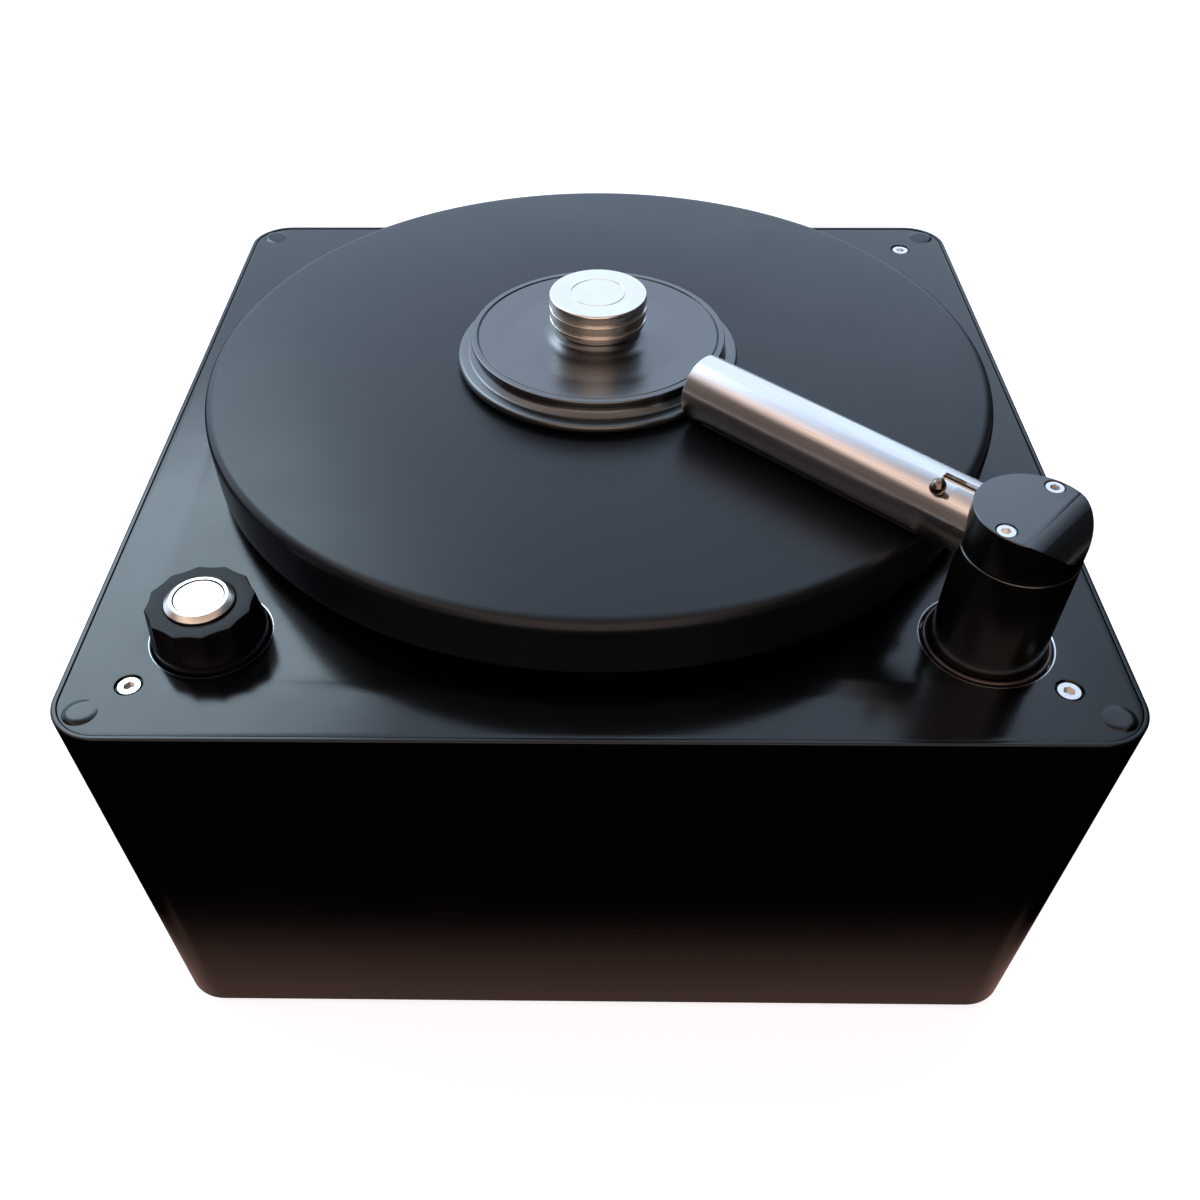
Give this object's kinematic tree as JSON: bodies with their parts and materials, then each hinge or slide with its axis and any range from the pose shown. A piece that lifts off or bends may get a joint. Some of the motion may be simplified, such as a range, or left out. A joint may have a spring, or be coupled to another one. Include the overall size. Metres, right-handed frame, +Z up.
{
  "type": "record cleaning machine",
  "caption": "Square black tabletop machine with a turning platter, a screw-down record clamp, a push-button control knob and a swinging suction arm over a waste tank.",
  "frame": {"origin": "centre of the footprint, on the surface that the feet stand on", "axes": "+Z up along the platter's spindle, -Y towards the front, +X towards the suction arm's post"},
  "size_m": [0.345, 0.345, 0.2272],
  "materials": {
    "powder_coat": "satin black powder coat",
    "matte_platter": "fine matte black",
    "black_anodised": "black anodised, satin",
    "stainless": "brushed stainless steel",
    "zinc": "zinc plated",
    "aluminium": "satin",
    "bronze": "turned bronze",
    "rubber": "matte",
    "black_plastic": "fine satin",
    "white_plastic": "natural polyethylene",
    "iron": "painted motor can",
    "black_pile": "dense velvet pile"
  },
  "bodies": {
    "case": {"case_shell": "powder_coat", "top_plate": "powder_coat", "rear_tray": "powder_coat", "top_plate_screw_front_left": "stainless", "top_plate_screw_front_right": "stainless", "top_plate_screw_rear_right": "stainless", "bottom_plate": "zinc", "motor_bracket": "zinc", "turbine_mount": "zinc", "drain_spout": "zinc", "corner_pillar_front_left": "zinc", "corner_pillar_front_right": "zinc", "corner_pillar_rear_right": "zinc", "corner_pillar_rear_left": "zinc", "bearing_housing": "aluminium", "post_guide": "aluminium", "fan_housing": "aluminium", "power_supply": "aluminium", "spindle_bush": "bronze", "vacuum_hose": "rubber", "drain_hose": "rubber", "neck_seal": "rubber", "tank_gasket": "rubber", "foot_front_left": "rubber", "foot_front_right": "rubber", "foot_rear_right": "rubber", "foot_rear_left": "rubber", "knob_well": "black_plastic", "rotary_switch": "black_plastic", "mains_inlet": "black_plastic", "switch_housing": "black_plastic", "waste_tank": "white_plastic", "tank_lid": "white_plastic", "gear_motor": "iron", "vacuum_motor": "iron"},
    "turntable": {"platter": "matte_platter", "platter_hub": "aluminium", "spindle": "stainless", "gearbox_shaft": "stainless"},
    "clamp": {"clamp_puck": "black_anodised", "clamp_pad": "rubber"},
    "clamp_knob": {"clamp_knob": "stainless"},
    "knob": {"control_knob": "black_plastic", "button_bezel": "stainless", "switch_spindle": "zinc"},
    "button": {"push_button": "stainless"},
    "swing_sleeve": {"post_sleeve": "bronze"},
    "arm": {"arm_post": "black_anodised", "arm_cap": "black_anodised", "arm_cap_screw_near": "stainless", "arm_cap_screw_far": "stainless", "arm_key": "stainless", "tube_spigot": "stainless", "bayonet_pin": "stainless"},
    "tube": {"suction_tube": "stainless", "tube_end_plug": "black_plastic", "wiper_strip_front": "black_pile", "wiper_strip_rear": "black_pile"},
    "mains_rocker": {"rocker": "black_plastic"},
    "drain_cap": {"drain_cap": "rubber"}
  },
  "joints": [
    {"name": "platter_spin", "type": "hinge", "parent": "case", "child": "turntable", "pos_m": [0, 0, 0.19], "axis": [0, 0, 1], "continuous": true},
    {"name": "clamp_lift", "type": "slide", "parent": "turntable", "child": "clamp", "axis": [0, 0, 1], "range_m": [0, 0.00375]},
    {"name": "clamp_knob_turn", "type": "hinge", "parent": "clamp", "child": "clamp_knob", "pos_m": [0, 0, 0.22], "axis": [0, 0, 1], "range_deg": [0, 1080]},
    {"name": "knob_turn", "type": "hinge", "parent": "case", "child": "knob", "pos_m": [-0.1287, -0.1256, 0.18], "axis": [0, 0, 1], "range_deg": [-50, 50]},
    {"name": "button_press", "type": "slide", "parent": "knob", "child": "button", "axis": [0, 0, -1], "range_m": [0, 0.002], "stiffness_N_per_m": 300, "springref_m": -0.001},
    {"name": "arm_swing", "type": "hinge", "parent": "case", "child": "swing_sleeve", "pos_m": [0.1288, -0.1263, 0.17], "axis": [0, 0, 1], "range_deg": [-68, 0]},
    {"name": "arm_lift", "type": "slide", "parent": "swing_sleeve", "child": "arm", "axis": [0, 0, 1], "range_m": [0, 0.012]},
    {"name": "tube_twist", "type": "hinge", "parent": "arm", "child": "tube", "pos_m": [0.1288, -0.1263, 0.2129], "axis": [0.7284, -0.6852, 0], "range_deg": [0, 27]},
    {"name": "rocker_tilt", "type": "hinge", "parent": "case", "child": "mains_rocker", "pos_m": [0.01, 0.1493, 0.048], "axis": [1, 0, 0], "range_deg": [0, 18]},
    {"name": "drain_cap_pull", "type": "slide", "parent": "case", "child": "drain_cap", "axis": [0, 1, 0], "range_m": [0, 0.015]}
  ],
  "couplings": [
    {"joint": "clamp_knob_turn", "follows": "clamp_lift", "rad_per_m": 5026.5}
  ]
}
